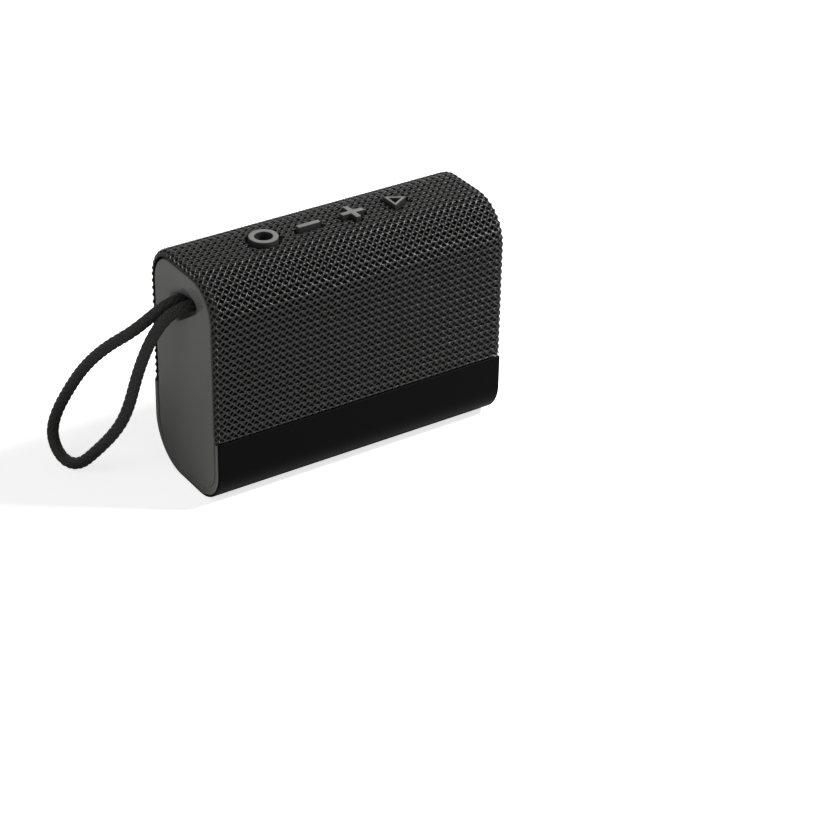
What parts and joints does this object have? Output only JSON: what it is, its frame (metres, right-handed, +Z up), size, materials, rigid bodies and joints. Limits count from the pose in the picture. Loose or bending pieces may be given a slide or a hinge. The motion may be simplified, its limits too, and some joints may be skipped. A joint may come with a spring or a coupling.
{
  "type": "portable shower speaker",
  "caption": "Small box-shaped splash-proof speaker: mesh fabric wrap over a smooth base band, flat end caps, top control buttons and a corded wrist loop.",
  "frame": {"origin": "middle of the flat underside, on the surface that the speaker stands on", "axes": "+X along the body away from the wrist strap, +Y from the front to the back with the charging flap, +Z up"},
  "size_m": [0.1318, 0.0568, 0.0768],
  "materials": {
    "fabric": "open knitted mesh, black",
    "band_rubber": "smooth satin, black",
    "cap_plastic": "satin, dark grey",
    "shell_plastic": "moulded, black",
    "button_plastic": "satin, grey",
    "cord_braid": "round braid, black",
    "seal_rubber": "soft silicone",
    "board": "green solder mask",
    "component_plastic": "moulded, black",
    "connector_plastic": "natural nylon",
    "plated_steel": "zinc plated",
    "cell_wrap": "shrink wrap, blue",
    "nickel": "nickel strip",
    "wire": "insulated wire, red",
    "ribbon": "flat flexible cable",
    "led_lens": "clear lens",
    "microphone_can": "plated can",
    "cone_paper": "pressed cone, black",
    "copper": "wound wire",
    "spider_cloth": "treated cloth",
    "magnet_ferrite": "ferrite, dark grey",
    "damping_weight": "steel plate"
  },
  "bodies": {
    "housing": {"fabric_cover": "fabric", "base_band": "band_rubber", "front_shell": "shell_plastic", "rear_shell": "shell_plastic", "left_end_frame": "shell_plastic", "right_end_frame": "shell_plastic", "left_end_cap": "cap_plastic", "right_end_cap": "cap_plastic", "left_cap_seal": "seal_rubber", "right_cap_seal": "seal_rubber", "strap_cord": "cord_braid", "strap_anchor": "shell_plastic", "keypad_seal": "seal_rubber", "button_board": "board", "tact_switches": "plated_steel", "status_led": "led_lens", "microphone": "microphone_can", "ribbon_cable": "ribbon", "main_board": "board", "usb_port": "plated_steel", "bluetooth_module": "plated_steel", "amplifier_chip": "component_plastic", "wire_connectors": "connector_plastic", "board_screws": "plated_steel", "battery_cell": "cell_wrap", "battery_cradle": "shell_plastic", "battery_tabs": "nickel", "battery_leads": "wire", "sound_box_front": "shell_plastic", "sound_box_rear": "shell_plastic", "sound_box_seal": "seal_rubber", "driver_gasket": "seal_rubber", "driver_basket": "shell_plastic", "driver_surround": "seal_rubber", "driver_spider": "spider_cloth", "top_plate": "plated_steel", "driver_magnet": "magnet_ferrite", "driver_yoke": "plated_steel", "driver_screws": "plated_steel", "driver_leads": "wire", "radiator_frame": "shell_plastic", "radiator_surround": "seal_rubber", "shell_screws": "plated_steel", "port_bezel": "shell_plastic", "flap_pin": "plated_steel"},
    "power_key": {"power_button": "button_plastic"},
    "volume_down_key": {"volume_down_button": "button_plastic"},
    "volume_up_key": {"volume_up_button": "button_plastic"},
    "play_key": {"play_button": "button_plastic"},
    "flap": {"port_flap": "band_rubber"},
    "cone": {"driver_cone": "cone_paper", "dust_cap": "cone_paper", "voice_coil": "copper"},
    "radiator": {"radiator_plate": "damping_weight"}
  },
  "joints": [
    {"name": "power_press", "type": "slide", "parent": "housing", "child": "power_key", "axis": [0, 0, -1], "range_m": [0, 0.0005], "stiffness_N_per_m": 400, "springref_m": -0.0005},
    {"name": "volume_down_press", "type": "slide", "parent": "housing", "child": "volume_down_key", "axis": [0, 0, -1], "range_m": [0, 0.0005], "stiffness_N_per_m": 400, "springref_m": -0.0005},
    {"name": "volume_up_press", "type": "slide", "parent": "housing", "child": "volume_up_key", "axis": [0, 0, -1], "range_m": [0, 0.0005], "stiffness_N_per_m": 400, "springref_m": -0.0005},
    {"name": "play_press", "type": "slide", "parent": "housing", "child": "play_key", "axis": [0, 0, -1], "range_m": [0, 0.0005], "stiffness_N_per_m": 400, "springref_m": -0.0005},
    {"name": "flap_hinge", "type": "hinge", "parent": "housing", "child": "flap", "pos_m": [0.024, 0.0186, 0.0184], "axis": [-1, 0, 0], "range_deg": [0, 110]},
    {"name": "cone_travel", "type": "slide", "parent": "housing", "child": "cone", "axis": [0, -1, 0], "range_m": [-0.001, 0.001], "stiffness_N_per_m": 900, "deforming": ["driver_surround", "driver_spider"]},
    {"name": "radiator_travel", "type": "slide", "parent": "housing", "child": "radiator", "axis": [0, 1, 0], "range_m": [-0.0015, 0.0015], "stiffness_N_per_m": 600, "deforming": ["radiator_surround"]}
  ]
}
